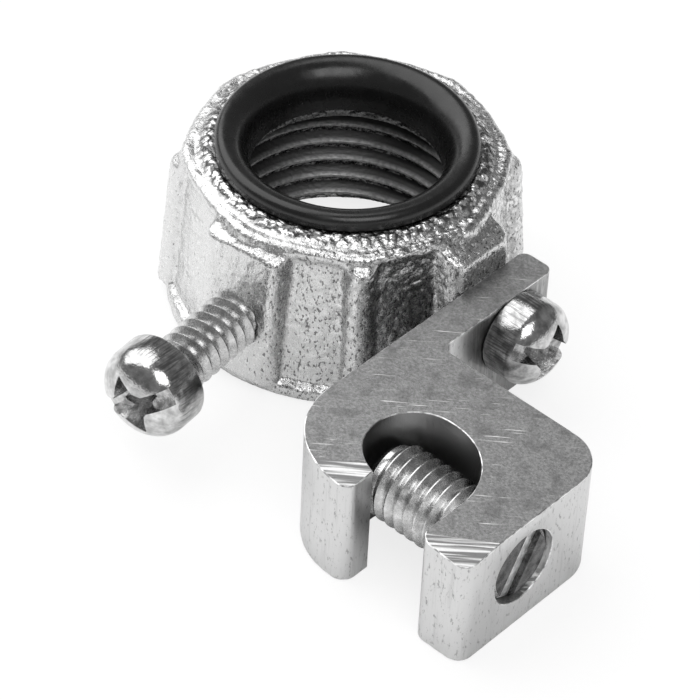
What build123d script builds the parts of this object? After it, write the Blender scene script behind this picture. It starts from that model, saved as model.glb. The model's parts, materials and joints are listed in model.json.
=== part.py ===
from build123d import *
import os
from math import acos, cos, degrees, radians, sin, sqrt

# Insulated grounding bushing for half inch conduit, in millimetres.
# The bore axis is Z, the bottom face of the casting is Z = 0 and the lug is on the +X side.

# Casting
body_height = 14.9
rim_radius = 14.3
rim_height = 1.0
rim_edge_break = 0.3
draft_angle = 4.6
panel_corner_radius = 14.15
panel_bulge_radius = 22.0
panel_recess = 0.35
cap_depth = 1.3
rib_reach = 15.0
rib_width = 2.5
rib_root = 2.2
rib_angles = [45, 90, 135, 180, 225, 318]
neck_radius = 11.1
shoulder_radius = 12.4
shoulder_drop = 0.95
shoulder_height = body_height - shoulder_drop
shoulder_fall = 0.45

# Locking screw boss and lug pad of the casting
boss_angle = 276.5
boss_width = 7.4
boss_reach = 14.9
boss_corner_radius = 1.1
boss_root = 5.0
pad_width = 6.4
pad_face = 14.9
pad_draft_stock = 0.9
pad_corner_radius = 1.2

# Bore of the casting
thread_bore_radius = 9.75
thread_mouth_radius = 10.5
thread_mouth_depth = 0.4
thread_pitch = 25.4 / 14
thread_depth = 0.85
thread_crest_width = 0.36
thread_groove_count = 4
thread_run_out = 1.0
stop_radius = 8.5
stop_thickness = 1.3
liner_pocket_depth = 2.6
liner_pocket_height = body_height - liner_pocket_depth
thread_end_height = liner_pocket_height - stop_thickness

# Insulating liner
liner_rim_radius = 10.6
liner_rim_overhang = 0.1
liner_crest_height = 1.3
liner_rim_edge = 0.7
liner_throat_radius = 7.75
liner_bell_depth = 3.0
liner_bell_angles = (0, 30, 60)
liner_skirt_radius = 9.3
liner_clearance = 0.05

# Round head screws, two alike
screw_radius = 2.4
screw_tip_chamfer = 0.5
head_radius = 3.95
head_side_height = 2.1
head_dome_height = 2.8
head_dome_angles = (0, 32, 60)
slot_width = 1.3
slot_depth = 1.25
cross_length = 5.2
cross_width = 1.5
cross_depth = 2.7
cross_taper = 10
tapped_clearance = 0.05

# Locking screw
locking_height = 6.6
locking_stand_off = 8.0
locking_shank = 12.7
locking_slot_turn = 31

# Lay-in lug
lug_bottom = 0.05
lug_height = 10.25
lug_length = 20.0
lug_front = -24.55
lug_back = -8.35
lug_nose_radius = 6.8
lug_prong_radius = 1.3
lug_heel_radius = 3.6
tab_thickness = 3.1
tab_end = 4.7
tab_end_radius = 0.8
tab_root_radius = 1.0
slot_side = 4.75
mouth_width = 6.87
mouth_tip_radius = 1.2
pocket_radius = 3.95
pocket_centre_x = 24.0
pocket_centre_y = -18.0
pocket_far_radius = 5.75

# Lug screw
lug_screw_height = 6.9
lug_screw_shank = 7.9
lug_screw_slot_turn = -35
tab_hole_clearance = 0.1

# Clamp screw
clamp_radius = 3.15
clamp_length = 13.4
clamp_recess = 0.3
clamp_axis_y = -17.9
clamp_axis_height = 5.7
clamp_slot_width = 1.1
clamp_slot_turn = 60
clamp_slot_depth = 1.5
clamp_end_chamfer = 0.35
clamp_tip_chamfer = 0.7

# How far a cutter runs past the metal it cuts
cutter_overrun = 1.0


def polar(radius, angle):
    return (radius * cos(radians(angle)), radius * sin(radians(angle)))


def drafted_plane(angle, reach):
    """Plane that leans with the draft: X points outwards and Z climbs the casting's side."""
    outward = Vector(*polar(1, angle))
    lean = radians(draft_angle)
    return Plane(origin=outward * reach + Vector(0, 0, rim_height),
                 x_dir=outward * cos(lean) + Vector(0, 0, sin(lean)),
                 z_dir=outward * -sin(lean) + Vector(0, 0, cos(lean)))


def panelled_hub(set_back, foot):
    """Eight bulged panels between the ribs, the boss and the pad, each part of a leaning cylinder."""
    corners = [0] + sorted(rib_angles + [boss_angle]) + [360]
    with BuildPart() as hub:
        with Locations((0, 0, foot)):
            Cylinder(rib_reach, body_height - foot, align=(Align.CENTER, Align.CENTER, Align.MIN))
        for start, end in zip(corners, corners[1:]):
            half_span = radians(end - start) / 2
            half_chord = panel_corner_radius * sin(half_span)
            centre = panel_corner_radius * cos(half_span) - sqrt(panel_bulge_radius**2 - half_chord**2)
            with BuildSketch(drafted_plane((start + end) / 2, centre)):
                Circle(panel_bulge_radius - set_back)
            extrude(amount=2 * body_height, both=True, mode=Mode.INTERSECT)
    return hub.part


def round_head_screw(seat, shank_length, slot_turn):
    """Domed head with a slot and cross recess; the seat plane is the underside of the head."""
    profile = Plane(origin=seat.origin, x_dir=seat.x_dir, z_dir=-seat.y_dir)
    head_height = head_side_height + head_dome_height
    dome = [(head_radius * cos(radians(angle)), head_side_height + head_dome_height * sin(radians(angle)))
            for angle in head_dome_angles]
    top = seat.offset(head_height).rotated((0, 0, slot_turn))
    with BuildPart() as screw:
        with BuildSketch(profile):
            with BuildLine():
                Polyline((0, head_height), (0, -shank_length),
                         (screw_radius - screw_tip_chamfer, -shank_length),
                         (screw_radius, screw_tip_chamfer - shank_length), (screw_radius, 0),
                         (head_radius, 0), *dome, close=True)
            make_face()
        revolve(axis=Axis(seat.origin, seat.z_dir))
        with BuildSketch(top):
            Rectangle(2 * head_radius + cutter_overrun, slot_width)
        extrude(amount=-slot_depth, mode=Mode.SUBTRACT)
        with BuildSketch(top):
            Rectangle(cross_width, cross_length)
            Rectangle(cross_length, cross_width)
        extrude(amount=-cross_depth, taper=cross_taper, mode=Mode.SUBTRACT)
    return screw.part


# Bushing body: a drafted zinc casting with six plain ribs, a screw boss and a machined lug pad
with BuildPart() as bushing_body:
    add(panelled_hub(panel_recess, rim_height))
    add(panelled_hub(0, body_height - cap_depth))
    for angle in rib_angles:
        with BuildSketch(drafted_plane(angle, rib_reach - rib_width / 2)):
            Circle(rib_width / 2)
            with Locations((-rib_root / 2, 0)):
                Rectangle(rib_root, rib_width)
        extrude(amount=body_height)
    with BuildSketch(drafted_plane(boss_angle, boss_reach - boss_root / 2)):
        RectangleRounded(boss_root, boss_width, boss_corner_radius)
    extrude(amount=body_height)
    with BuildSketch(drafted_plane(0, pad_face + pad_draft_stock - boss_root / 2)):
        RectangleRounded(boss_root, pad_width, pad_corner_radius)
    extrude(amount=body_height)
    with BuildSketch(Plane.XZ):
        with BuildLine():
            Polyline((0, 0), (rim_radius - rim_edge_break, 0), (rim_radius, rim_edge_break),
                     (rim_radius, rim_height), (rim_radius - panel_recess, rim_height + panel_recess),
                     (0, rim_height + panel_recess), close=True)
        make_face()
    revolve(axis=Axis.Z)
    # Neck and shoulder, turned about the bore axis
    with BuildSketch(Plane.XZ):
        with BuildLine():
            outside = pad_face + pad_draft_stock + cutter_overrun
            outside_height = shoulder_height - shoulder_fall * (outside - shoulder_radius)
            Polyline((0, 0), (outside, 0), (outside, outside_height), (shoulder_radius, shoulder_height),
                     (neck_radius, body_height), (0, body_height), close=True)
        make_face()
    revolve(axis=Axis.Z, mode=Mode.INTERSECT)
    # Machined face that the lug seats on
    with Locations((pad_face, 0, 0)):
        Box(pad_draft_stock + cutter_overrun, pad_width + cutter_overrun, body_height + cutter_overrun,
            align=(Align.MIN, Align.CENTER, Align.MIN), mode=Mode.SUBTRACT)
    # Stepped bore: thread mouth, thread, conduit stop and liner pocket
    with BuildSketch(Plane.XZ):
        with BuildLine():
            liner_pocket_radius = liner_skirt_radius + liner_clearance
            Polyline((0, 0), (thread_mouth_radius, 0), (thread_bore_radius, thread_mouth_depth),
                     (thread_bore_radius, thread_end_height), (stop_radius, thread_end_height),
                     (stop_radius, liner_pocket_height), (liner_pocket_radius, liner_pocket_height),
                     (liner_pocket_radius, body_height), (0, body_height), close=True)
        make_face()
    revolve(axis=Axis.Z, mode=Mode.SUBTRACT)
    # Tapped holes for the locking screw and the lug screw
    tapped_radius = screw_radius + tapped_clearance
    for angle, height, face in ((boss_angle, locking_height, boss_reach), (0, lug_screw_height, pad_face)):
        radial = Vector(*polar(1, angle))
        with BuildSketch(Plane(origin=(0, 0, height), x_dir=(0, 0, 1), z_dir=radial)):
            Circle(tapped_radius)
        extrude(amount=face + cutter_overrun, mode=Mode.SUBTRACT)
    # Conduit thread, with one plain V groove for each turn
    with BuildSketch(Plane.XZ):
        half_groove = (thread_pitch - thread_crest_width) / 2
        for turn in range(thread_groove_count):
            groove_height = thread_end_height - thread_run_out - turn * thread_pitch
            with BuildLine():
                Polyline((thread_bore_radius, groove_height - half_groove),
                         (thread_bore_radius + thread_depth, groove_height),
                         (thread_bore_radius, groove_height + half_groove), close=True)
            make_face()
    revolve(axis=Axis.Z, mode=Mode.SUBTRACT)
bushing_body.part.label = "bushing_body"

# Insulating liner: a bell mouth ring whose skirt snaps into the casting
with BuildPart() as insulating_liner:
    crest_height = body_height + liner_crest_height
    liner_crest_radius = liner_rim_radius - liner_rim_edge
    rim_round = Vector(*polar(liner_rim_edge, 45))
    # The bell is a quarter of an ellipse in a few cones, from the throat up to the crest
    bell_width = liner_crest_radius - liner_throat_radius
    bell = [(liner_crest_radius - bell_width * cos(radians(angle)),
             crest_height - liner_bell_depth * (1 - sin(radians(angle)))) for angle in liner_bell_angles]
    with BuildSketch(Plane.XZ):
        with BuildLine():
            Polyline((liner_throat_radius, liner_pocket_height),
                     (liner_skirt_radius, liner_pocket_height), (liner_skirt_radius, body_height),
                     (liner_rim_radius - liner_rim_overhang, body_height),
                     (liner_rim_radius, body_height + liner_rim_overhang),
                     (liner_rim_radius, crest_height - liner_rim_edge),
                     (liner_crest_radius + rim_round.X, crest_height - liner_rim_edge + rim_round.Y),
                     (liner_crest_radius, crest_height), *reversed(bell), close=True)
        make_face()
    revolve(axis=Axis.Z)
insulating_liner.part.label = "insulating_liner"

# Lay-in lug: one piece of extruded aluminium with a tab and an open conductor pocket
with BuildPart() as lay_in_lug:
    with BuildSketch(Plane.XY.offset(lug_bottom)) as profile:
        with BuildLine():
            tab_face = pad_face + tab_thickness
            lug_end = pad_face + lug_length
            Polyline((pad_face, lug_front), (lug_end, lug_front), (lug_end, lug_back), (tab_face, lug_back),
                     (tab_face, tab_end), (pad_face, tab_end), close=True)
        make_face()
        corner_radii = {(pad_face, lug_front): lug_nose_radius, (lug_end, lug_front): lug_prong_radius,
                        (lug_end, lug_back): lug_heel_radius, (tab_face, lug_back): tab_root_radius,
                        (tab_face, tab_end): tab_end_radius, (pad_face, tab_end): tab_end_radius}
        for corner, radius in corner_radii.items():
            fillet(profile.vertices().sort_by_distance(Vector(*corner))[0], radius=radius)
        mouth_far = lug_end - slot_side
        mouth_near = mouth_far - mouth_width
        far_centre = mouth_far - pocket_far_radius
        pocket_top = pocket_centre_y + pocket_radius
        hook_sweep = 90 + degrees(acos((pocket_centre_x - mouth_near) / pocket_radius))
        with BuildLine():
            Line((mouth_far, lug_front), (mouth_far, pocket_top - pocket_far_radius))
            CenterArc((far_centre, pocket_top - pocket_far_radius), pocket_far_radius, 0, 90)
            Line((far_centre, pocket_top), (pocket_centre_x, pocket_top))
            near_arc = CenterArc((pocket_centre_x, pocket_centre_y), pocket_radius, 90, hook_sweep)
            Line(near_arc @ 1, (mouth_near, lug_front))
            Line((mouth_near, lug_front), (mouth_far, lug_front))
        make_face(mode=Mode.SUBTRACT)
        for corner in ((mouth_near, lug_front), (mouth_far, lug_front)):
            fillet(profile.vertices().sort_by_distance(Vector(*corner))[0], radius=mouth_tip_radius)
    extrude(amount=lug_height)
    with BuildSketch(Plane.YZ.offset(pad_face)):
        with Locations((0, lug_screw_height)):
            Circle(screw_radius + tab_hole_clearance)
    extrude(amount=tab_thickness, mode=Mode.SUBTRACT)
    with BuildSketch(Plane.YZ.offset(lug_end)):
        with Locations((clamp_axis_y, clamp_axis_height)):
            Circle(clamp_radius + tapped_clearance)
    extrude(amount=-(slot_side + pocket_far_radius), mode=Mode.SUBTRACT)
lay_in_lug.part.label = "lay_in_lug"

# Locking screw, backed out of the boss
with BuildPart() as locking_screw:
    radial = Vector(*polar(1, boss_angle))
    locking_seat = Plane(origin=radial * (boss_reach + locking_stand_off) + Vector(0, 0, locking_height),
                         x_dir=radial.rotate(Axis.Z, 90), z_dir=radial)
    add(round_head_screw(locking_seat, locking_shank, locking_slot_turn))
locking_screw.part.label = "locking_screw"

# Lug screw, its head down on the tab
with BuildPart() as lug_screw:
    lug_seat = Plane(origin=(tab_face, 0, lug_screw_height), x_dir=(0, 0, 1), z_dir=(1, 0, 0))
    add(round_head_screw(lug_seat, lug_screw_shank, lug_screw_slot_turn))
lug_screw.part.label = "lug_screw"

# Clamp screw: headless, slotted, across the conductor pocket
with BuildPart() as clamp_screw:
    clamp_end = Plane(origin=(lug_end - clamp_recess, clamp_axis_y, clamp_axis_height),
                      x_dir=(0, 1, 0), z_dir=(1, 0, 0))
    clamp_profile = Plane(origin=clamp_end.origin, x_dir=clamp_end.x_dir, z_dir=-clamp_end.y_dir)
    with BuildSketch(clamp_profile):
        with BuildLine():
            Polyline((0, 0), (0, -clamp_length), (clamp_radius - clamp_tip_chamfer, -clamp_length),
                     (clamp_radius, clamp_tip_chamfer - clamp_length), (clamp_radius, -clamp_end_chamfer),
                     (clamp_radius - clamp_end_chamfer, 0), close=True)
        make_face()
    revolve(axis=Axis(clamp_end.origin, clamp_end.z_dir))
    with BuildSketch(clamp_end.rotated((0, 0, clamp_slot_turn))):
        Rectangle(2 * clamp_radius + cutter_overrun, clamp_slot_width)
    extrude(amount=-clamp_slot_depth, mode=Mode.SUBTRACT)
clamp_screw.part.label = "clamp_screw"

os.makedirs("parts", exist_ok=True)
for piece in (bushing_body, insulating_liner, lay_in_lug, locking_screw, lug_screw, clamp_screw):
    export_step(piece.part, f"parts/{piece.part.label}.step")
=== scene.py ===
"""Insulated grounding bushing with a lay-in lug, built as an add-on around its CAD frame."""

import json
from math import atan2, cos, hypot, pi, radians, sin

import bpy
from bpy.props import FloatProperty, FloatVectorProperty, IntProperty, PointerProperty
from mathutils import Matrix, Vector

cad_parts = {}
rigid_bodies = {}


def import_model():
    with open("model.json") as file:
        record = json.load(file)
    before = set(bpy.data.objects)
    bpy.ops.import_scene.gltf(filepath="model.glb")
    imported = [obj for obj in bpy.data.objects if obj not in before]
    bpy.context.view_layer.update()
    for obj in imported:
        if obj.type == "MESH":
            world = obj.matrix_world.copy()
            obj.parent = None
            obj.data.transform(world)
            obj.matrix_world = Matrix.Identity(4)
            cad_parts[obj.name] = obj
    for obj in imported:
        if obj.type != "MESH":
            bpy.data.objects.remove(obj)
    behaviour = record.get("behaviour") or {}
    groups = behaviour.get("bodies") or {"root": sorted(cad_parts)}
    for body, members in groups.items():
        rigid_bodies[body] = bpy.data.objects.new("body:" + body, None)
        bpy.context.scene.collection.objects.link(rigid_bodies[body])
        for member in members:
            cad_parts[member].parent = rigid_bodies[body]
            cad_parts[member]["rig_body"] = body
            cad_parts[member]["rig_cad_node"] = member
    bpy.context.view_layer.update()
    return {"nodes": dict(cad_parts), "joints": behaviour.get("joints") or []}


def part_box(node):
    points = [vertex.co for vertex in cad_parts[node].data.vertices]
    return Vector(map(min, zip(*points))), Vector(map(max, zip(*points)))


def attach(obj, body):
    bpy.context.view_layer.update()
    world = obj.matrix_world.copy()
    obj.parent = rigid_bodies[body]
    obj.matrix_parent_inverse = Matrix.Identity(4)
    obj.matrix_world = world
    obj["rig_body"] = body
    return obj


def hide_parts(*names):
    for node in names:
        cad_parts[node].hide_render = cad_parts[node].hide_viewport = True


bl_info = {
    "name": "Grounding Bushing",
    "version": (1, 0, 0),
    "blender": (4, 5, 0),
    "location": "View3D > Sidebar > Bushing",
    "description": "Builds a plated grounding bushing with its liner, lug and screws",
    "category": "Add Mesh",
}

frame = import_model()

MM = 0.001
FULL_TURN = 2 * pi
WELD = 0.001 * MM

# Casting: azimuths of the panels' corners in degrees, the top of the bore and of the mouth in the
# solid, the mouth's new top, the zone of the shoulder that is smoothed, and the bounds of the pad,
# bore and foot that stay free of lumps.
PANEL_CORNERS = (0, 45, 90, 135, 180, 225, 276.5, 318, 360)
PANEL_STEPS = 12
SOLID_BORE_TOP, SOLID_MOUTH_TOP = 11.05 * MM, 0.4 * MM
MOUTH_TOP = 1.5 * MM
SHOULDER_INSIDE = 11.0 * MM
SHOULDER_LOW, SHOULDER_HIGH = 12.4 * MM, 14.5 * MM
PAD_PLANE = 14.6 * MM
TURNED_RADIUS = 10.7 * MM
FOOT_HEIGHT = 0.15 * MM

# Tapped holes: the nodes and azimuths of their screws, the solid's radius, the radius of the screws'
# thread valleys, and the drill that clears the conduit thread.
TAPPED_HOLES = (("locking_screw", radians(276.5)), ("lug_screw", 0.0))
TAPPED_RADIUS, VALLEY_RADIUS = 2.45 * MM, 2.1 * MM
DRILL_RADIUS, DRILL_DEPTH = 2.5 * MM, 6 * MM

# Screws: head height in the solids, material slots of a shank and a recess, how deep into the dome the
# recess's faces are told from its skin, and the set screw's turned end with its slot.
SOLID_HEAD_HEIGHT = 4.9 * MM
SHANK, RECESS = 1, 2
DOME_SHARE = 0.94
SHANK_RADIUS = 2.4 * MM
ROD_STEPS = 56
END_DEPTH, END_ROD_TOP = 1.5 * MM, 1.3 * MM
END_SLOT_WIDTH, END_SLOT_DEPTH = 1.9 * MM, 0.5 * MM

# Lug: lines in millimetres where the saw marks of the two prong tips start, the reach of a prong
# about such a line, the middle of the pocket, around which its walls get painted shade, and the seat of
# the lug screw's head, around which a shadow is painted.
PRONG_SAW_LINES = (((19.78, -23.68, 0), (22.62, -21.52, 0)),
                   ((30.55, -23.89, 0), (34.82, -20.92, 0)))
PRONG_HALF_WIDTH, PRONG_REACH = 3.2 * MM, 1.5 * MM
POCKET_CENTRE = (24.0 * MM, -18.0 * MM, 0)
HEAD_SEAT = (18.0 * MM, 0, 6.9 * MM)

# Camera: height that it aims at, and how many millimetres it is shifted to its right and down.
AIM_HEIGHT = 9.5 * MM
SHIFT_RIGHT, SHIFT_DOWN = 0.41, 12.22


def length(name, description, default):
    """A size property in metres."""
    return FloatProperty(name=name, description=description, default=default * MM, unit="LENGTH",
                         subtype="DISTANCE", precision=5)


def colour(name, description, grey):
    """A colour property, grey by default as the metal and plastic are."""
    return FloatVectorProperty(name=name, description=description, default=(grey, grey, grey),
                               subtype="COLOR", min=0.0, max=1.0)


class CastingSizes(bpy.types.PropertyGroup):
    """Sizes of the zinc casting and its bore thread."""

    grain: length("Mesh grain", "Edge length of the casting's mesh", 0.19)
    bore_root_radius: length("Thread root radius", "Bore radius at the bottom of the thread", 10.6)
    bore_crest_radius: length("Thread crest radius", "Bore radius at the thread's crests", 9.75)
    mouth_radius: length("Mouth radius", "Radius where the bore opens at the bottom face", 11.3)
    bore_pitch: length("Thread pitch", "Rise of the conduit thread in one turn", 1.814)
    bore_thread_top: length("Thread top", "Height where the conduit thread ends", 10.3)
    bore_thread_start: length("Thread start", "Height of the lowest ridge on the lug's side", -0.65)
    lump_size: length("Lump size", "Size of the cast surface's lumps", 0.9)
    lump_height: length("Lump height", "Height of the cast surface's lumps", 0.2)
    panel_corner_radius: length("Panel corner radius", "Radius at the corners between the panels", 14.15)
    panel_bulge_radius: length("Panel bulge radius", "Radius that each panel's face is bent to", 22.0)
    draft: FloatProperty(name="Draft", description="Slope of the casting's sides", default=radians(4.6),
                         subtype="ANGLE", unit="ROTATION")
    shoulder_rounds: IntProperty(name="Shoulder rounding", default=14, min=0,
                                 description="Smoothing passes over the shoulder")
    bead_radius: length("Bead radius", "Radius of the rounded shoulder bead", 0.6)
    bead_height: length("Bead height", "Height of the shoulder bead's middle", 13.85)
    bead_set_back: length("Bead set back", "How far the bead's middle lies inside the panels", 0.35)


class LinerSizes(bpy.types.PropertyGroup):
    """Sizes of the plastic bell mouth ring."""

    rim_radius: length("Rim radius", "Outer radius of the ring", 10.6)
    throat_radius: length("Throat radius", "Radius of the wire way", 7.75)
    crest_radius: length("Crest radius", "Radius of the ring's highest line", 9.9)
    skirt_radius: length("Skirt radius", "Radius of the skirt inside the casting", 9.3)
    bell_depth: length("Bell depth", "Depth of the rounded mouth", 2.9)
    rim_edge: length("Rim edge", "Height of the rim's rounded edge", 0.75)


class ScrewSizes(bpy.types.PropertyGroup):
    """Sizes that the three screws share or differ in."""

    ridge_depth: length("Ridge depth", "Depth of the screw threads", 0.55)
    machine_pitch: length("Machine screw pitch", "Pitch of the two round head screws", 1.058)
    clamp_ridge: length("Clamp ridge depth", "Depth of the set screw's thread", 0.42)
    clamp_pitch: length("Clamp screw pitch", "Pitch of the set screw", 0.98)
    boss_head_radius: length("Locking head radius", "Radius of the locking screw's head", 3.85)
    boss_head_height: length("Locking head height", "Height of the locking screw's head", 4.7)
    tab_head_radius: length("Lug head radius", "Radius of the lug screw's head", 3.55)
    tab_head_height: length("Lug head height", "Height of the lug screw's head", 4.4)
    head_side: length("Head side", "Height where the dome starts", 2.1)
    slot_width: length("Slot width", "Width of the driving slot", 1.45)
    slot_depth: length("Slot depth", "Depth of the driving slot below the crown", 1.7)
    cross_reach: length("Cross reach", "Length of each wing of the cross recess", 2.95)
    cross_waist: length("Cross waist", "Radius of the cross between its wings", 1.5)
    cross_depth: length("Cross depth", "Depth of the cross recess", 3.4)


class LugSizes(bpy.types.PropertyGroup):
    """Sizes of the extruded lug's edges."""

    edge: length("Edge break", "Rounding of the sawn edges", 0.08)
    tip_fall: FloatProperty(name="Tip fall", description="Slope of the saw marks on the prong tips",
                            default=0.16)


class Finishes(bpy.types.PropertyGroup):
    """Colours of the metals and the plastic."""

    zinc: colour("Zinc plate", "Rough plated casting", 0.66)
    aluminium: colour("Aluminium", "Sawn and tumbled extrusion", 0.60)
    steel: colour("Bright plate", "Bright plated steel screws", 0.68)
    plastic: colour("Liner plastic", "Gloss black bell mouth", 0.006)


class StudioSizes(bpy.types.PropertyGroup):
    """Camera and light of the studio."""

    distance: length("Camera distance", "Distance of the camera from the bushing", 280.9)
    focal: FloatProperty(name="Focal length", description="Lens in millimetres", default=180.0,
                         unit="CAMERA")
    floor_size: length("Floor size", "Width of the floor", 6000.0)


def settings(name):
    """One of the scene's property groups."""
    return getattr(bpy.context.scene, name)


def select_nothing():
    """Leaves edit mode and deselects every object, so that an operator acts on one piece."""
    if bpy.context.object is not None and bpy.context.object.mode != "OBJECT":
        bpy.ops.object.mode_set(mode="OBJECT")
    bpy.ops.object.select_all(action="DESELECT")


def pick(piece):
    """Makes one piece the only selected one and the active one."""
    select_nothing()
    piece.hide_set(False)
    piece.select_set(True)
    bpy.context.view_layer.objects.active = piece


def named(piece, name):
    """Gives a piece and its mesh one name, and hands the piece back."""
    piece.name = name
    piece.data.name = name
    return piece


def select_where(piece, wanted):
    """Enters edit mode with only the vertices selected whose place passes the test."""
    pick(piece)
    bpy.ops.object.mode_set(mode="EDIT")
    bpy.ops.mesh.select_mode(type="VERT")
    bpy.ops.mesh.select_all(action="DESELECT")
    bpy.ops.object.mode_set(mode="OBJECT")
    for vertex in piece.data.vertices:
        vertex.select = wanted(vertex.co)
    bpy.ops.object.mode_set(mode="EDIT")


def on_whole_mesh(piece, operator, **values):
    """Runs one edit mode operator on all of a piece's mesh."""
    pick(piece)
    bpy.ops.object.mode_set(mode="EDIT")
    bpy.ops.mesh.select_all(action="SELECT")
    operator(**values)
    bpy.ops.object.mode_set(mode="OBJECT")


def merge_doubles(piece):
    """Merges the vertices of a mesh that share a place."""
    on_whole_mesh(piece, bpy.ops.mesh.remove_doubles, threshold=WELD)


def weld(piece):
    """Merges a mesh's doubles and turns its faces outwards."""
    merge_doubles(piece)
    on_whole_mesh(piece, bpy.ops.mesh.normals_make_consistent, inside=False)


def cut_off(piece, height, side):
    """Takes away what lies above a height, or below it where the side is -1, and closes the cut."""
    on_whole_mesh(piece, bpy.ops.mesh.bisect, plane_co=(0, 0, height), plane_no=(0, 0, side),
                  use_fill=True, clear_outer=True)


def dissolve_flat(piece):
    """Takes out the edges that lie within flat faces."""
    on_whole_mesh(piece, bpy.ops.mesh.dissolve_limited, angle_limit=radians(1))


def apply_modifier(piece, kind, **values):
    """Adds a modifier, sets it and applies it at once."""
    pick(piece)
    modifier = piece.modifiers.new(kind.title(), kind)
    for key, value in values.items():
        setattr(modifier, key, value)
    bpy.ops.object.modifier_apply(modifier=modifier.name)


def copy_of_solid(node, name):
    """A merged copy of a CAD node that may be shaped further."""
    pick(frame["nodes"][node])
    bpy.ops.object.duplicate()
    piece = named(bpy.context.active_object, name)
    bpy.ops.object.parent_clear(type="CLEAR_KEEP_TRANSFORM")
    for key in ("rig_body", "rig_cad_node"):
        if key in piece:
            del piece[key]
    piece.data.materials.clear()
    merge_doubles(piece)
    return piece


def tapped_holes():
    """Each tapped hole's direction and the point where its line leaves the bore's axis."""
    for node, azimuth in TAPPED_HOLES:
        low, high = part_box(node)
        yield Vector((cos(azimuth), sin(azimuth), 0)), Vector((0, 0, (low.z + high.z) / 2))


def narrow_hole(piece, axis, foot):
    """Draws a tapped hole's wall in to the screw's thread valleys, as mating threads do."""
    for vertex in piece.data.vertices:
        along = (vertex.co - foot).dot(axis)
        off = vertex.co - foot - axis * along
        if along > 0 and abs(off.length - TAPPED_RADIUS) < 0.03 * MM:
            vertex.co -= off * (1 - VALLEY_RADIUS / TAPPED_RADIUS)


def drawn_line(name, points):
    """An open chain of edges through the points, drawn by extruding one vertex."""
    select_nothing()
    bpy.ops.mesh.primitive_plane_add(size=MM, location=(0, 0, 0))
    piece = named(bpy.context.active_object, name)
    bpy.ops.object.mode_set(mode="EDIT")
    bpy.ops.mesh.merge(type="CENTER")
    bpy.ops.transform.translate(value=points[0])
    for start, end in zip(points, points[1:]):
        step = Vector(end) - Vector(start)
        bpy.ops.mesh.extrude_region_move(TRANSFORM_OT_translate={"value": step})
    bpy.ops.object.mode_set(mode="OBJECT")
    return piece


def turned(name, outline, steps):
    """A closed solid of revolution about Z from an outline of radius and height pairs."""
    piece = drawn_line(name, [(radius, 0, height) for radius, height in outline])
    on_whole_mesh(piece, bpy.ops.mesh.spin, steps=steps, angle=FULL_TURN, center=(0, 0, 0),
                  axis=(0, 0, 1))
    weld(piece)
    return piece


def arc(centre, radii, start, end, count):
    """Points of radius and height on an elliptical arc, angles in degrees."""
    turns = [radians(start + (end - start) * step / count) for step in range(count + 1)]
    return [(centre[0] + radii[0] * cos(turn), centre[1] + radii[1] * sin(turn)) for turn in turns]


def threaded_rod(radius, depth, pitch, rod_length, tip_chamfer, top):
    """A rod from its top height down to its tip with a helical ridge, closed at both ends."""
    crest = 0.1 * pitch
    flank = 0.4 * pitch
    points = []
    height = top + pitch
    while height > -rod_length - 2 * pitch:
        points.append((radius, 0, height))
        points.append((radius, 0, height - crest))
        points.append((radius - depth * 0.9, 0, height - crest - flank))
        points.append((radius - depth, 0, height - crest - flank - (pitch - crest - 2 * flank) / 2))
        points.append((radius - depth * 0.9, 0, height - pitch + flank))
        height -= pitch
    piece = drawn_line("rod", points)
    apply_modifier(piece, "SCREW", axis="Z", angle=FULL_TURN, steps=ROD_STEPS, render_steps=ROD_STEPS,
                   screw_offset=pitch, use_merge_vertices=False, use_normal_calculate=True)
    weld(piece)
    cut_off(piece, top, 1)
    cut_off(piece, -rod_length, -1)
    weld(piece)
    for vertex in piece.data.vertices:
        allowed = radius - tip_chamfer + vertex.co.z + rod_length
        reach = hypot(vertex.co.x, vertex.co.y)
        if reach > allowed:
            vertex.co.x *= allowed / reach
            vertex.co.y *= allowed / reach
    return piece


def placed(piece, matrix):
    """Moves the mesh of a finished piece to its seat, which leaves its origin at the world's."""
    pick(piece)
    piece.matrix_world = matrix
    bpy.ops.object.transform_apply(location=True, rotation=True, scale=True)


def turned_to(axis):
    """The turn that takes Z to an axis."""
    return axis.to_track_quat("Z", "Y").to_matrix().to_4x4()


def cut(piece, cutter):
    """Cuts one closed solid out of another, and drops the cutter."""
    apply_modifier(piece, "BOOLEAN", object=cutter, operation="DIFFERENCE", solver="EXACT")
    if not piece.data.polygons:
        raise RuntimeError(f"Nothing is left of {piece.name} after a cut")
    pick(cutter)
    bpy.ops.object.delete()


def cut_slot(piece, radius, height, width, depth):
    """Cuts a straight driving slot across the top of a turned piece."""
    select_nothing()
    bpy.ops.mesh.primitive_cube_add(size=1)
    slot = bpy.context.active_object
    placed(slot, Matrix.Translation((0, 0, height)) @ Matrix.Diagonal((3 * radius, width, 2 * depth, 1)))
    cut(piece, slot)


def joined(piece, other):
    """Puts the mesh of one piece into another."""
    pick(piece)
    other.select_set(True)
    bpy.ops.object.join()


def paint(piece, materials):
    """Gives a piece its materials, unless it has them already."""
    if not piece.data.materials:
        for material in materials:
            piece.data.materials.append(material)


def finish_piece(piece, body, materials, angle, replaces=None):
    """Shades a piece, smooth below an angle in degrees, paints it and ties it to its body."""
    if not piece.data.polygons:
        raise RuntimeError(f"{piece.name} came out without faces")
    pick(piece)
    bpy.ops.object.shade_smooth_by_angle(angle=radians(angle))
    paint(piece, materials)
    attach(piece, body)
    if replaces:
        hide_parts(replaces)


def new_material(name):
    """A material with its node tree and its main shader."""
    material = bpy.data.materials.new(name)
    material.use_nodes = True
    return material, material.node_tree, material.node_tree.nodes["Principled BSDF"]


def set_sockets(node, sockets):
    """Sets the values of a node's input sockets."""
    for key, value in sockets.items():
        node.inputs[key].default_value = value


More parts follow.
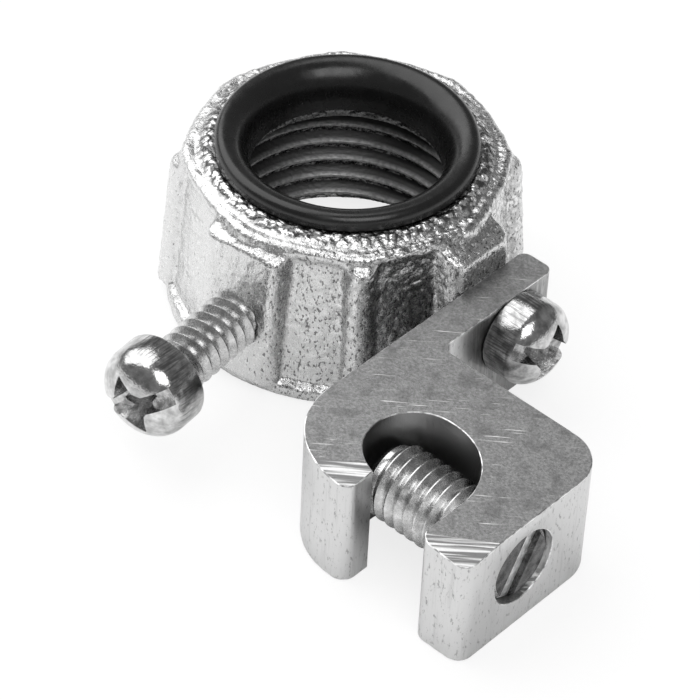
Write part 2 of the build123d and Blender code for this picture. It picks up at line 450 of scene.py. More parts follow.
def add_node(tree, kind, sockets=None, **values):
    """A shader node with its sockets' values and its own settings."""
    made = tree.nodes.new(kind)
    for key, value in values.items():
        setattr(made, key, value)
    set_sockets(made, sockets or {})
    return made


def noise(tree, coords, size, detail=2.0, roughness=0.5, stretch=(1, 1, 1)):
    """A noise value in 0 to 1, its grain given in metres."""
    made = add_node(tree, "ShaderNodeTexNoise", {"Scale": 1 / size, "Detail": detail,
                                                 "Roughness": roughness})
    tree.links.new(stretched(tree, coords, stretch), made.inputs["Vector"])
    return made.outputs["Fac"]


def stretched(tree, coords, stretch):
    """Object coordinates scaled along each axis, so that a pattern runs along one of them."""
    if tuple(stretch) == (1, 1, 1):
        return coords
    mapping = add_node(tree, "ShaderNodeMapping", {"Scale": stretch})
    tree.links.new(coords, mapping.inputs["Vector"])
    return mapping.outputs["Vector"]


def cells(tree, coords, size):
    """A cell pattern, its cells' size given in metres."""
    made = add_node(tree, "ShaderNodeTexVoronoi", {"Scale": 1 / size}, feature="F1")
    tree.links.new(coords, made.inputs["Vector"])
    return made.outputs["Distance"]


def remap(tree, value, low, high, new_low=0.0, new_high=1.0):
    """A value stretched from one range to another and clamped."""
    made = add_node(tree, "ShaderNodeMapRange", {"From Min": low, "From Max": high, "To Min": new_low,
                                                 "To Max": new_high})
    tree.links.new(value, made.inputs["Value"])
    return made.outputs["Result"]


def sums(tree, operation, first, second):
    """One arithmetic step on two values, where either may be a plain number."""
    made = add_node(tree, "ShaderNodeMath", operation=operation)
    for socket, value in zip(made.inputs, (first, second)):
        if isinstance(value, (int, float)):
            socket.default_value = value
        else:
            tree.links.new(value, socket)
    return made.outputs["Value"]


def vector_math(tree, operation, first, second=None, output="Value"):
    """One step on a vector, where a second vector is given as plain numbers."""
    made = add_node(tree, "ShaderNodeVectorMath", operation=operation)
    tree.links.new(first, made.inputs[0])
    if second:
        made.inputs[1].default_value = second
    return made.outputs[output]


def parts_of(tree, vector):
    """The X, Y and Z of a vector."""
    made = add_node(tree, "ShaderNodeSeparateXYZ")
    tree.links.new(vector, made.inputs["Vector"])
    return made.outputs


def reach_of(tree, coords):
    """The distance from the upright line through the coordinates' origin."""
    return vector_math(tree, "LENGTH", stretched(tree, coords, (1, 1, 0)))


def blended(tree, factor, first, second):
    """A grey between two others, by a factor."""
    made = add_node(tree, "ShaderNodeMix", data_type="RGBA")
    tree.links.new(factor, made.inputs["Factor"])
    for socket, value in ((made.inputs[6], first), (made.inputs[7], second)):
        if isinstance(value, float):
            socket.default_value = (value, value, value, 1)
        elif isinstance(value, tuple):
            socket.default_value = value
        else:
            tree.links.new(value, socket)
    return made.outputs[2]


def bumped(tree, shader, height, distance):
    """Links a height pattern to the shader's normal."""
    made = add_node(tree, "ShaderNodeBump", {"Distance": distance, "Strength": 1.0})
    tree.links.new(height, made.inputs["Height"])
    tree.links.new(made.outputs["Normal"], shader.inputs["Normal"])


def object_coords(tree):
    """The piece's own coordinates."""
    return add_node(tree, "ShaderNodeTexCoord").outputs["Object"]


def opaque(grey_colour):
    """A property's colour with its alpha."""
    return (*grey_colour, 1.0)


def zinc_material():
    """Plated casting: smooth and bright with dark flecks, beaded with rounded grains in patches, and with
    painted shade in the bore.
    """
    material, tree, shader = new_material("Rough zinc casting")
    coords = object_coords(tree)
    zinc = opaque(settings("bushing_finishes").zinc)
    shader.inputs["Metallic"].default_value = 1.0
    warp = add_node(tree, "ShaderNodeTexNoise", {"Scale": 1 / (0.5 * MM), "Detail": 1.0})
    tree.links.new(coords, warp.inputs["Vector"])
    bend = add_node(tree, "ShaderNodeVectorMath", operation="MULTIPLY_ADD")
    tree.links.new(warp.outputs["Color"], bend.inputs[0])
    bend.inputs[1].default_value = (0.4 * MM, 0.4 * MM, 0.4 * MM)
    tree.links.new(coords, bend.inputs[2])
    grains = cells(tree, bend.outputs["Vector"], 0.6 * MM)
    flecks = noise(tree, coords, 0.3 * MM, 3.0, 0.6, (1.3, 1.3, 0.7))
    fine = noise(tree, coords, 0.11 * MM, 2.0, 0.6)
    place = parts_of(tree, coords)
    reach = reach_of(tree, coords)
    collar = remap(tree, reach, 11.4 * MM, 12.1 * MM, 0.9, 0.0)
    patches = remap(tree, noise(tree, coords, 2.0 * MM, 2.0), 0.56, 0.68, 0.0, 0.3)
    lug_side = remap(tree, place["X"], 8.0 * MM, 11.0 * MM, 0.0, 0.4)
    worn = remap(tree, reach, 14.0 * MM, 14.4 * MM, 1.0, 0.0)
    beaded = sums(tree, "MULTIPLY", worn, sums(tree, "ADD", patches, lug_side))
    beaded = sums(tree, "MAXIMUM", collar, beaded)
    fleck_share = remap(tree, place["X"], 2.0 * MM, 6.0 * MM, 0.66, 0.57)
    specks = remap(tree, sums(tree, "SUBTRACT", flecks, fleck_share), 0.0, 0.04)
    seams = sums(tree, "MULTIPLY", remap(tree, grains, 0.42, 0.58), beaded)
    dark = sums(tree, "MAXIMUM", seams, sums(tree, "MULTIPLY", specks, 0.8))
    # Painted shade: inside the turned radius, the bore's wall is darkened almost to black.
    dark = sums(tree, "MAXIMUM", dark, remap(tree, reach, 10.7 * MM, 10.9 * MM, 0.8, 0.0))
    glints = remap(tree, noise(tree, coords, 0.34 * MM, 3.0, 0.6), 0.6, 0.66)
    light = blended(tree, sums(tree, "MAXIMUM", beaded, glints), zinc, 0.9)
    tree.links.new(blended(tree, dark, light, 0.07), shader.inputs["Base Color"])
    satin = remap(tree, fine, 0.3, 0.7, 0.2, 0.34)
    satin = sums(tree, "MAXIMUM", satin, sums(tree, "MULTIPLY", glints, 0.65))
    tree.links.new(satin, shader.inputs["Roughness"])
    smooth = sums(tree, "SUBTRACT", 1.0, beaded)
    relief = sums(tree, "ADD", sums(tree, "MULTIPLY", sums(tree, "SUBTRACT", 1.0, grains), beaded),
                  sums(tree, "MULTIPLY", sums(tree, "MULTIPLY", flecks, smooth), -0.35))
    bumped(tree, shader, relief, 0.2 * MM)
    return material


def bore_material():
    """Cut thread in the zinc in painted shade: dark, a little lighter on the crests and darkest on the
    flanks, smoother than the cast skin.
    """
    material, tree, shader = new_material("Cut zinc thread")
    coords = object_coords(tree)
    set_sockets(shader, {"Metallic": 1.0, "Roughness": 0.42})
    grain = noise(tree, coords, 0.3 * MM, 3.0)
    crest = settings("bushing_casting").bore_crest_radius
    # Painted shade: from the crests out towards the thread's roots, the colour falls to near black.
    flank = remap(tree, reach_of(tree, coords), crest, crest + 0.35 * MM)
    light = blended(tree, remap(tree, grain, 0.35, 0.65), 0.24, 0.42)
    tree.links.new(blended(tree, flank, light, 0.08), shader.inputs["Base Color"])
    bumped(tree, shader, grain, 0.03 * MM)
    return material


def plastic_material():
    """Gloss black plastic with faint moulding marks."""
    material, tree, shader = new_material("Black liner plastic")
    coords = object_coords(tree)
    plastic = opaque(settings("bushing_finishes").plastic)
    set_sockets(shader, {"Base Color": plastic, "Specular IOR Level": 0.5})
    marks = noise(tree, coords, 1.1 * MM, 3.0, 0.6)
    tree.links.new(remap(tree, marks, 0.3, 0.7, 0.2, 0.34), shader.inputs["Roughness"])
    bumped(tree, shader, noise(tree, coords, 0.5 * MM, 2.0), 0.008 * MM)
    return material


def aluminium_material():
    """Extruded lug: lengthwise die lines on its sides, saw grain and scratches on its ends, painted shade
    in the pocket and a painted shadow around the screw head.
    """
    material, tree, shader = new_material("Extruded aluminium")
    coords = object_coords(tree)
    metal = opaque(settings("bushing_finishes").aluminium)
    shader.inputs["Metallic"].default_value = 1.0
    place = parts_of(tree, coords)
    die_lines = noise(tree, coords, 0.3 * MM, 3.0, 0.6, (1, 1, 0.06))
    grain = noise(tree, coords, 0.2 * MM, 3.0, 0.75)
    normal = add_node(tree, "ShaderNodeNewGeometry").outputs["Normal"]
    sawn = remap(tree, sums(tree, "ABSOLUTE", parts_of(tree, normal)["Z"], 0.0), 0.6, 0.8)
    along = add_node(tree, "ShaderNodeMapping", {"Rotation": (0, 0, radians(39)), "Scale": (34, 1, 1)},
                     vector_type="TEXTURE")
    tree.links.new(coords, along.inputs["Vector"])
    scratches = remap(tree, noise(tree, along.outputs["Vector"], 0.15 * MM, 3.0, 0.6), 0.62, 0.7)
    where = remap(tree, noise(tree, coords, 2.6 * MM, 1.0), 0.48, 0.6)
    scratches = sums(tree, "MULTIPLY", scratches, where)
    sides = blended(tree, remap(tree, die_lines, 0.25, 0.45), 0.5, metal)
    pits = remap(tree, noise(tree, coords, 0.26 * MM, 3.0, 0.7, (1, 1, 0.4)), 0.58, 0.68, 0.0, 0.7)
    sides = blended(tree, pits, sides, 0.2)
    # Painted shade: the sides inside the pocket, near its middle, are darkened, fading out towards the
    # prong tips.
    reach = reach_of(tree, vector_math(tree, "SUBTRACT", coords, POCKET_CENTRE, "Vector"))
    inside = remap(tree, reach, 5.8 * MM, 6.2 * MM, 1.0, 0.0)
    inside = sums(tree, "MULTIPLY", inside, remap(tree, place["Y"], -21.5 * MM, -19.0 * MM))
    sides = blended(tree, inside, sides, 0.26)
    # Painted shadow: the sides around the lug screw's head are darkened, streaked along the die lines.
    from_head = vector_math(tree, "DISTANCE", coords, HEAD_SEAT)
    painted_shade = remap(tree, from_head, 3.6 * MM, 7.5 * MM, 0.75, 0.0)
    painted_shade = sums(tree, "MULTIPLY", painted_shade, remap(tree, die_lines, 0.4, 0.5, 0.5, 1.0))
    sides = blended(tree, painted_shade, sides, 0.12)
    tops = blended(tree, remap(tree, grain, 0.3, 0.7), 0.2, 0.44)
    tops = blended(tree, remap(tree, noise(tree, coords, 1.5 * MM, 3.0), 0.5, 0.7, 0.0, 0.45), tops, 0.13)
    tops = blended(tree, scratches, tops, 0.95)
    tipward = vector_math(tree, "DOT_PRODUCT", normal, (0.6, -0.8, 0))
    saw_mark = remap(tree, tipward, 0.09, 0.12)
    streaks = remap(tree, noise(tree, along.outputs["Vector"], 0.28 * MM, 2.0), 0.46, 0.6)
    tops = blended(tree, saw_mark, tops, blended(tree, streaks, 0.24, 0.85))
    tree.links.new(blended(tree, sawn, sides, tops), shader.inputs["Base Color"])
    tree.links.new(remap(tree, sawn, 0.0, 1.0, 0.34, 0.5), shader.inputs["Roughness"])
    height = sums(tree, "ADD", sums(tree, "MULTIPLY", die_lines, 0.5), sums(tree, "MULTIPLY", grain, 0.5))
    bumped(tree, shader, height, 0.03 * MM)
    return material


def edge_material():
    """Aluminium worn bright along the broken edges, dull again in patches."""
    material, tree, shader = new_material("Worn aluminium edge")
    set_sockets(shader, {"Metallic": 1.0, "Roughness": 0.4})
    wear = noise(tree, object_coords(tree), 0.9 * MM, 3.0, 0.6)
    tree.links.new(blended(tree, remap(tree, wear, 0.4, 0.6), 0.3, 0.95), shader.inputs["Base Color"])
    return material


def steel_material(name, roughness, wear, clean=None, axis=None):
    """Bright plated steel, clouded to the wear's grey, with dark marks along an axis on its side walls."""
    material, tree, shader = new_material(name)
    coords = object_coords(tree)
    steel = clean or opaque(settings("bushing_finishes").steel)
    shader.inputs["Metallic"].default_value = 1.0
    cloud = noise(tree, coords, 0.8 * MM, 3.0, 0.6)
    metal = blended(tree, remap(tree, cloud, 0.35, 0.65), wear, steel)
    if axis:
        run = tuple(0.06 if number else 1.0 for number in axis)
        marks = remap(tree, noise(tree, coords, 0.17 * MM, 2.0, 0.6, run), 0.46, 0.6)
        normal = add_node(tree, "ShaderNodeNewGeometry").outputs["Normal"]
        facing = sums(tree, "ABSOLUTE", vector_math(tree, "DOT_PRODUCT", normal, axis), 0.0)
        wall = remap(tree, facing, 0.14, 0.4, 0.7, 0.0)
        metal = blended(tree, sums(tree, "MULTIPLY", marks, wall), metal, 0.14)
    tree.links.new(metal, shader.inputs["Base Color"])
    fine = noise(tree, coords, 0.15 * MM, 2.0)
    polish = remap(tree, fine, 0.3, 0.7, roughness * 0.7, roughness * 1.3)
    tree.links.new(polish, shader.inputs["Roughness"])
    bumped(tree, shader, fine, 0.012 * MM)
    return material


class BUSHING_OT_casting(bpy.types.Operator):
    """Builds the zinc casting with its lumpy skin and cut conduit thread."""

    bl_idname = "bushing.casting"
    bl_label = "Casting"

    def execute(self, context):
        sizes = settings("bushing_casting")
        casting = copy_of_solid("bushing_body", "casting")
        self.open_bore(casting, sizes)
        for axis, foot in tapped_holes():
            narrow_hole(casting, axis, foot)
        joined(casting, self.shoulder_bead(sizes))
        apply_modifier(casting, "REMESH", mode="VOXEL", voxel_size=sizes.grain, adaptivity=0.0)
        apply_modifier(casting, "SMOOTH", factor=0.5, iterations=3)
        self.round_shoulder(casting, sizes)
        self.raise_lumps(casting, sizes)
        finish_piece(casting, "bushing", [zinc_material()], 60, "bushing_body")
        thread = self.conduit_thread(sizes)
        finish_piece(thread, "bushing", [bore_material()], 40)
        return {"FINISHED"}

    def open_bore(self, casting, sizes):
        """Widens the solid's bore to the thread's roots, and its foot to the cone of the mouth."""
        crest = sizes.bore_crest_radius
        for vertex in casting.data.vertices:
            reach = hypot(vertex.co.x, vertex.co.y)
            if crest - 0.05 * MM < reach < crest + 1.0 * MM and vertex.co.z < SOLID_BORE_TOP:
                wanted = sizes.mouth_radius if vertex.co.z < 0.05 * MM else sizes.bore_root_radius
                vertex.co.x *= wanted / reach
                vertex.co.y *= wanted / reach
                if abs(vertex.co.z - SOLID_MOUTH_TOP) < 0.1 * MM:
                    vertex.co.z = MOUTH_TOP

    def round_shoulder(self, casting, sizes):
        """Smooths the shoulder with its bead."""
        shoulder = casting.vertex_groups.new(name="shoulder")
        for vertex in casting.data.vertices:
            outside = hypot(vertex.co.x, vertex.co.y) > SHOULDER_INSIDE
            if outside and SHOULDER_LOW < vertex.co.z < SHOULDER_HIGH:
                shoulder.add([vertex.index], 1.0, "REPLACE")
        apply_modifier(casting, "SMOOTH", factor=0.5, iterations=sizes.shoulder_rounds,
                       vertex_group="shoulder")

    def raise_lumps(self, casting, sizes):
        """Gives the cast skin its lumps, and leaves the machined pad, bore and foot as they are."""
        lumps = bpy.data.textures.new("Cast lumps", "CLOUDS")
        lumps.noise_scale = sizes.lump_size
        lumps.noise_depth = 2
        group = casting.vertex_groups.new(name="cast_skin")
        for vertex in casting.data.vertices:
            reach = hypot(vertex.co.x, vertex.co.y)
            machined = vertex.co.x > PAD_PLANE or reach < TURNED_RADIUS or vertex.co.z < FOOT_HEIGHT
            group.add([vertex.index], 0.0 if machined else 1.0, "REPLACE")
        apply_modifier(casting, "DISPLACE", texture=lumps, texture_coords="LOCAL", mid_level=0.5,
                       strength=sizes.lump_height, vertex_group="cast_skin")

    def conduit_thread(self, sizes):
        """The helical ridge in the bore, level at both ends and drilled where the two screws pass."""
        thread = drawn_line("conduit_thread", self.ridge_points(sizes))
        apply_modifier(thread, "SCREW", axis="Z", angle=FULL_TURN, steps=96, render_steps=96,
                       screw_offset=sizes.bore_pitch, iterations=7, use_merge_vertices=False)
        weld(thread)
        cut_off(thread, sizes.bore_thread_top, 1)
        cut_off(thread, MOUTH_TOP, -1)
        weld(thread)
        for axis, foot in tapped_holes():
            select_nothing()
            bpy.ops.mesh.primitive_cylinder_add(vertices=48, radius=DRILL_RADIUS, depth=DRILL_DEPTH)
            drill = bpy.context.active_object
            placed(drill, Matrix.Translation(axis * sizes.bore_root_radius + foot) @ turned_to(axis))
            cut(thread, drill)
        return thread

    def shoulder_bead(self, sizes):
        """A round bead along the lobed edge of the shoulder, one lobe for each panel."""
        lean = sizes.bead_height * sin(sizes.draft)
        bulge = sizes.panel_bulge_radius
        points = []
        for start, end in zip(PANEL_CORNERS, PANEL_CORNERS[1:]):
            half = radians(end - start) / 2
            half_chord = sizes.panel_corner_radius * sin(half)
            centre = sizes.panel_corner_radius * cos(half) - (bulge**2 - half_chord**2) ** 0.5
            for step in range(PANEL_STEPS):
                turn = half * (2 * step / PANEL_STEPS - 1)
                reach = centre * cos(turn) + (bulge**2 - (centre * sin(turn))**2) ** 0.5
                reach -= lean + sizes.bead_set_back
                azimuth = radians(start + end) / 2 + turn
                points.append((reach * cos(azimuth), reach * sin(azimuth), sizes.bead_height))
        points.append(points[0])
        bead = drawn_line("bead", points)
        merge_doubles(bead)
        bpy.ops.object.convert(target="CURVE")
        bead.data.bevel_depth = sizes.bead_radius
        bead.data.bevel_resolution = 4
        bpy.ops.object.convert(target="MESH")
        bead = bpy.context.active_object
        weld(bead)
        return bead

    def ridge_points(self, sizes):
        """Section of one ridge of the conduit thread, a closed triangle with a flat crest."""
        foot = sizes.bore_root_radius + 0.15 * MM
        crest = sizes.bore_crest_radius
        half = 0.42 * sizes.bore_pitch
        flat = 0.05 * sizes.bore_pitch
        middle = sizes.bore_thread_start
        return [(foot, 0, middle + half), (crest, 0, middle + flat), (crest, 0, middle - flat),
                (foot, 0, middle - half), (foot, 0, middle + half)]


class BUSHING_OT_liner(bpy.types.Operator):
    """Builds the plastic bell mouth ring."""

    bl_idname = "bushing.liner"
    bl_label = "Liner"

    def execute(self, context):
        sizes = settings("bushing_liner")
        low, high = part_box("insulating_liner")
        top = high.z
        seat = top - 1.3 * MM
        outline = [(sizes.throat_radius, low.z), (sizes.skirt_radius, low.z), (sizes.skirt_radius, seat),
                   (sizes.rim_radius - 0.15 * MM, seat), (sizes.rim_radius, seat + 0.12 * MM)]
        outline += arc((sizes.crest_radius, top - sizes.rim_edge),
                       (sizes.rim_radius - sizes.crest_radius, sizes.rim_edge), 0, 90, 8)
        outline += arc((sizes.crest_radius, top - sizes.bell_depth),
                       (sizes.crest_radius - sizes.throat_radius, sizes.bell_depth), 90, 180, 20)[1:]
        outline.append(outline[0])
        liner = turned("bell_mouth", outline, 144)
        finish_piece(liner, "bushing", [plastic_material()], 50, "insulating_liner")
        return {"FINISHED"}


class BUSHING_OT_lug(bpy.types.Operator):
    """Builds the lug with broken edges and saw marks on its prong tips."""

    bl_idname = "bushing.lug"
    bl_label = "Lay-in lug"

    def execute(self, context):
        sizes = settings("bushing_lug")
        lug = copy_of_solid("lay_in_lug", "lug_extrusion")
        paint(lug, (aluminium_material(), edge_material()))
        dissolve_flat(lug)
        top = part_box("lay_in_lug")[1].z
        for start, end in PRONG_SAW_LINES:
            start, end = Vector(start) * MM, Vector(end) * MM
            tipward = Vector((end.y - start.y, start.x - end.x, 0)).normalized()
            middle = (start.x + end.x) / 2
            on_whole_mesh(lug, bpy.ops.mesh.bisect, plane_co=start, plane_no=tipward)
            for vertex in lug.data.vertices:
                beyond = (vertex.co - start).dot(tipward)
                beside = abs(vertex.co.x - middle) < PRONG_HALF_WIDTH
                on_prong = beside and vertex.co.y < end.y + PRONG_REACH
                if beyond > 0 and on_prong and vertex.co.z > top - 0.01 * MM:
                    vertex.co.z -= sizes.tip_fall * beyond
        dissolve_flat(lug)
        apply_modifier(lug, "BEVEL", width=sizes.edge, segments=2, limit_method="ANGLE",
                       angle_limit=radians(50), material=1)
        finish_piece(lug, "lug", [], 30, "lay_in_lug")
        for face in lug.data.polygons:
            if face.normal.z > 0.9:
                face.use_smooth = False
        return {"FINISHED"}


def round_head(sizes, radius, height):
    """The domed head, seated at Z = 0, with its slot and cross recess."""
    side = sizes.head_side
    outline = [(0, 0), (radius - 0.25 * MM, 0), (radius - 0.07 * MM, 0.07 * MM), (radius, 0.25 * MM)]
    outline += arc((0, side), (radius, height - side), 0, 90, 18)
    head = turned("head", outline, 96)
    cut_slot(head, radius, height, sizes.slot_width, sizes.slot_depth)
    select_nothing()
    above = 0.6 * MM
    tall = sizes.cross_depth + above
    bpy.ops.mesh.primitive_cone_add(vertices=8, radius1=0.25 * sizes.cross_reach,
                                    radius2=sizes.cross_reach + 0.35 * MM, depth=tall,
                                    location=(0, 0, height + above - tall / 2))
    star = bpy.context.active_object
    bpy.ops.object.transform_apply(location=True, rotation=True, scale=True)

    def between_wings(place):
        return abs(sin(2 * atan2(place.y, place.x))) > 0.5 and place.z > height

    select_where(star, between_wings)
    pull = sizes.cross_waist / sizes.cross_reach
    bpy.ops.transform.resize(value=(pull, pull, 1), center_override=(0, 0, height))
    bpy.ops.object.mode_set(mode="OBJECT")
    cut(head, star)
    return head


def round_head_screw(name, node, axis, head_size, slot_turn, materials):
    """A round head screw on a radial axis, its seat and tip where its CAD node has them."""
    sizes = settings("bushing_screws")
    along = [vertex.co.dot(axis) for vertex in frame["nodes"][node].data.vertices]
    seat = max(along) - SOLID_HEAD_HEIGHT
    radius, height = head_size
    screw = round_head(sizes, radius, height)
    paint(screw, materials)
    for face in screw.data.polygons:
        out = face.center.xy.length / radius
        up = (face.center.z - sizes.head_side) / (height - sizes.head_side)
        if face.center.z > 0.1 * MM and hypot(out, max(up, 0)) < DOME_SHARE:
            face.material_index = RECESS
    rod = threaded_rod(SHANK_RADIUS, sizes.ridge_depth, sizes.machine_pitch, seat - min(along), 0.5 * MM,
                       top=0.6 * MM)
    paint(rod, materials)
    for face in rod.data.polygons:
        face.material_index = SHANK
    joined(screw, rod)
    named(screw, name)
    low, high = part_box(node)
    seat_place = Vector((0, 0, (low.z + high.z) / 2)) + axis * seat
    placed(screw, Matrix.Translation(seat_place) @ turned_to(axis) @ Matrix.Rotation(slot_turn, 4, "Z"))
    finish_piece(screw, node, [], 32, node)


class BUSHING_OT_screws(bpy.types.Operator):
    """Builds the two round head screws and the set screw."""

    bl_idname = "bushing.screws"
    bl_label = "Screws"

    def execute(self, context):
        sizes = settings("bushing_screws")
        plated = steel_material("Bright plated steel", 0.13, 0.36, axis=(0, 1, 0))
        turned_steel = steel_material("Turned plated steel", 0.13, 0.3, axis=(1, 0, 0))
        dull = steel_material("Dull plated steel", 0.27, 0.42)
        shaded = steel_material("Shaded recess", 0.22, 0.2, 0.6)
        slide = next(joint for joint in frame["joints"] if joint["name"] == "locking_screw_travel")
        round_head_screw("boss_screw", "locking_screw", Vector(slide["axis"]),
                         (sizes.boss_head_radius, sizes.boss_head_height), radians(31),
                         (plated, dull, shaded))
        round_head_screw("tab_screw", "lug_screw", Vector((1, 0, 0)),
                         (sizes.tab_head_radius, sizes.tab_head_height), radians(-24),
                         (turned_steel, dull, shaded))
        low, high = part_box("clamp_screw")
        radius = (high.y - low.y) / 2
        rod = threaded_rod(radius, sizes.clamp_ridge, sizes.clamp_pitch, high.x - low.x, 0.8 * MM,
                           top=-END_ROD_TOP)
        rim = radius - 0.05 * MM
        end = turned("pocket_screw", [(0, -END_DEPTH), (rim, -END_DEPTH), (rim, -0.35 * MM),
                                      (radius - 0.4 * MM, 0), (0, 0)], 96)
        cut_slot(end, radius, 0, END_SLOT_WIDTH, END_SLOT_DEPTH)
        # Painted shade: the set screw's end face beside its slot is near black.
        painted_shade = steel_material("Screw end in painted shade", 0.25, 0.03, 0.16)
        # Painted light: the floor of the set screw's slot is near white.
        painted_slot_light = steel_material("Slot floor in painted light", 0.55, 0.6, 1.0)
        paint(end, (dull, painted_shade, painted_slot_light))
        # The end face beside the slot takes the painted shade, and the slot's floor takes the painted
        # light.
        for face in end.data.polygons:
            if face.center.z > -0.05 * MM:
                face.material_index = SHANK
            elif abs(face.center.z + END_SLOT_DEPTH) < 0.1 * MM and face.center.xy.length < 0.5 * radius:
                face.material_index = RECESS
        paint(rod, (dull, painted_shade, painted_slot_light))
        joined(end, rod)
        middle = (low + high) / 2
        origin = Vector((high.x, middle.y, middle.z))
        turn = turned_to(Vector((1, 0, 0))) @ Matrix.Rotation(radians(60), 4, "Z")
        placed(end, Matrix.Translation(origin) @ turn)
        finish_piece(end, "clamp_screw", [], 32, "clamp_screw")
        return {"FINISHED"}


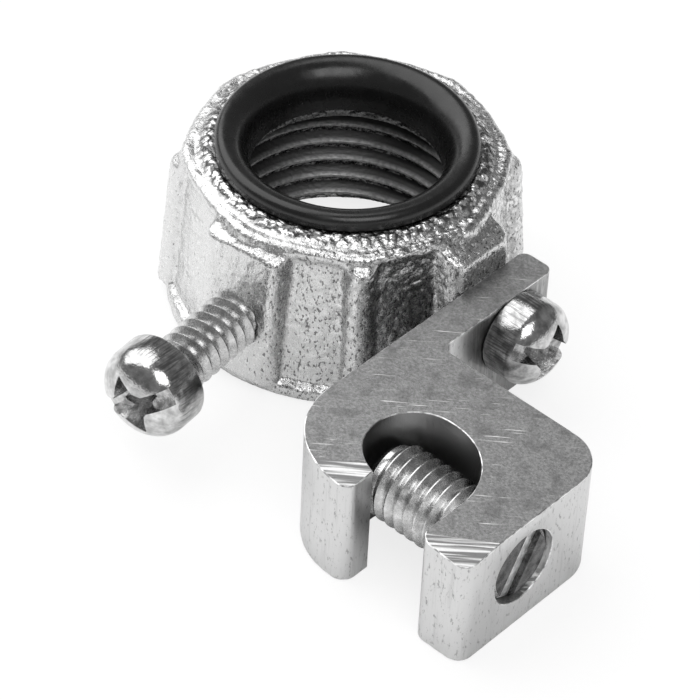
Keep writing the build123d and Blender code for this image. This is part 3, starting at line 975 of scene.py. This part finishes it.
class BUSHING_OT_stage(bpy.types.Operator):
    """Builds the pale floor, the lamps and the camera."""

    bl_idname = "bushing.stage"
    bl_label = "Stage"

    def execute(self, context):
        self.floor()
        self.world()
        self.camera()
        self.ceiling()
        self.lamp("Key", (-0.25, -0.02, 0.33), 0.5, 1.6)
        self.lamp("Second", (0.22, -0.13, 0.34), 0.24, 0.6)
        if context.scene.camera is None or context.scene.world is None:
            raise RuntimeError("The stage has no camera or no world")
        return {"FINISHED"}

    def floor(self):
        """A large white floor just under the casting, which keeps the object's shadow."""
        select_nothing()
        bpy.ops.mesh.primitive_plane_add(size=settings("bushing_studio").floor_size,
                                         location=(0, 0, -0.05 * MM))
        floor = named(bpy.context.active_object, "floor")
        bpy.ops.object.transform_apply(location=True, rotation=True, scale=True)
        material, tree, shader = new_material("White floor")
        set_sockets(shader, {"Base Color": (0.93, 0.93, 0.93, 1), "Roughness": 0.9})
        paper = add_node(tree, "ShaderNodeEmission", {"Color": (1, 1, 1, 1), "Strength": 1.0})
        rays = add_node(tree, "ShaderNodeLightPath")
        mix = add_node(tree, "ShaderNodeMixShader")
        tree.links.new(sums(tree, "MULTIPLY", rays.outputs["Is Camera Ray"], 0.8), mix.inputs["Fac"])
        tree.links.new(shader.outputs["BSDF"], mix.inputs[1])
        tree.links.new(paper.outputs["Emission"], mix.inputs[2])
        tree.links.new(mix.outputs["Shader"], tree.nodes["Material Output"].inputs["Surface"])
        floor.data.materials.append(material)

    def ceiling(self):
        """A dark dome above the table that only reflections see, as in a studio with one soft box."""
        select_nothing()
        bpy.ops.mesh.primitive_uv_sphere_add(segments=48, ring_count=24, radius=0.8)
        dome = named(bpy.context.active_object, "dark_ceiling")
        on_whole_mesh(dome, bpy.ops.mesh.bisect, plane_co=(0, 0, 0.1), plane_no=(0, 0, -1),
                      clear_outer=True)
        material, tree, shader = new_material("Dark ceiling")
        set_sockets(shader, {"Base Color": (0, 0, 0, 1), "Specular IOR Level": 0.0,
                             "Emission Color": (1, 1, 1, 1), "Emission Strength": 0.22})
        dome.data.materials.append(material)
        dome.visible_camera = False
        dome.visible_diffuse = False
        dome.visible_shadow = False
        dome.visible_transmission = False

    def world(self):
        """Plain light for the object, and white where the camera or a reflection looks past it."""
        world = bpy.data.worlds.new("Studio")
        bpy.context.scene.world = world
        world.use_nodes = True
        tree = world.node_tree
        tree.nodes.clear()
        soft = add_node(tree, "ShaderNodeBackground", {"Color": (1, 1, 1, 1), "Strength": 0.55})
        white = add_node(tree, "ShaderNodeBackground", {"Color": (1, 1, 1, 1), "Strength": 1.0})
        rays = add_node(tree, "ShaderNodeLightPath")
        seen = sums(tree, "MAXIMUM", rays.outputs["Is Camera Ray"], rays.outputs["Is Glossy Ray"])
        seen = sums(tree, "MAXIMUM", seen, rays.outputs["Is Transmission Ray"])
        mix = add_node(tree, "ShaderNodeMixShader")
        tree.links.new(seen, mix.inputs["Fac"])
        tree.links.new(soft.outputs["Background"], mix.inputs[1])
        tree.links.new(white.outputs["Background"], mix.inputs[2])
        output = add_node(tree, "ShaderNodeOutputWorld")
        tree.links.new(mix.outputs["Shader"], output.inputs["Surface"])

    def lamp(self, name, place, size, power):
        """A square soft box that looks at the bushing."""
        select_nothing()
        bpy.ops.object.light_add(type="AREA", location=place)
        lamp = bpy.context.active_object
        lamp.name = name
        lamp.data.shape = "SQUARE"
        lamp.data.size = size
        lamp.data.energy = power
        lamp.rotation_euler = (-Vector(place)).to_track_quat("-Z", "Y").to_euler()

    def camera(self):
        """The photograph's view: a long lens above and to the right of the bushing's front."""
        azimuth, elevation, roll = radians(41.0), radians(42.5), radians(3.0)
        back = Vector((sin(azimuth) * cos(elevation), -cos(azimuth) * cos(elevation), sin(elevation)))
        level = Vector((cos(azimuth), sin(azimuth), 0))
        steep = back.cross(level)
        right = level * cos(roll) + steep * sin(roll)
        up = steep * cos(roll) - level * sin(roll)
        studio = settings("bushing_studio")
        place = Vector((0, 0, AIM_HEIGHT)) + back * studio.distance
        place = place + right * SHIFT_RIGHT * MM - up * SHIFT_DOWN * MM
        select_nothing()
        bpy.ops.object.camera_add()
        camera = bpy.context.active_object
        camera.name = "Camera"
        camera.data.lens = studio.focal
        camera.data.sensor_width = 36.0
        camera.data.clip_start = 0.01
        turn = Matrix((right, up, back)).transposed().to_4x4()
        camera.matrix_world = Matrix.Translation(place) @ turn
        bpy.context.scene.camera = camera


class BUSHING_PT_panel(bpy.types.Panel):
    """Lists the steps that build the bushing."""

    bl_label = "Grounding Bushing"
    bl_idname = "BUSHING_PT_panel"
    bl_space_type = "VIEW_3D"
    bl_region_type = "UI"
    bl_category = "Bushing"

    def draw(self, context):
        for step in STEPS:
            self.layout.operator(step.bl_idname)


STEPS = (BUSHING_OT_casting, BUSHING_OT_liner, BUSHING_OT_lug, BUSHING_OT_screws, BUSHING_OT_stage)
GROUPS = {"bushing_casting": CastingSizes, "bushing_liner": LinerSizes, "bushing_screws": ScrewSizes,
          "bushing_lug": LugSizes, "bushing_finishes": Finishes, "bushing_studio": StudioSizes}


def register():
    """Registers the property groups, the operators and the panel."""
    for name, group in GROUPS.items():
        bpy.utils.register_class(group)
        setattr(bpy.types.Scene, name, PointerProperty(type=group))
    for step in STEPS:
        bpy.utils.register_class(step)
    bpy.utils.register_class(BUSHING_PT_panel)


def unregister():
    """Takes the panel, the operators and the property groups away again."""
    bpy.utils.unregister_class(BUSHING_PT_panel)
    for step in reversed(STEPS):
        bpy.utils.unregister_class(step)
    for name, group in GROUPS.items():
        delattr(bpy.types.Scene, name)
        bpy.utils.unregister_class(group)


def main():
    """Builds the bushing and its studio."""
    register()
    bpy.ops.bushing.casting()
    bpy.ops.bushing.liner()
    bpy.ops.bushing.lug()
    bpy.ops.bushing.screws()
    bpy.ops.bushing.stage()
    bpy.context.scene.view_settings.view_transform = "Standard"


if __name__ == "__main__":
    main()
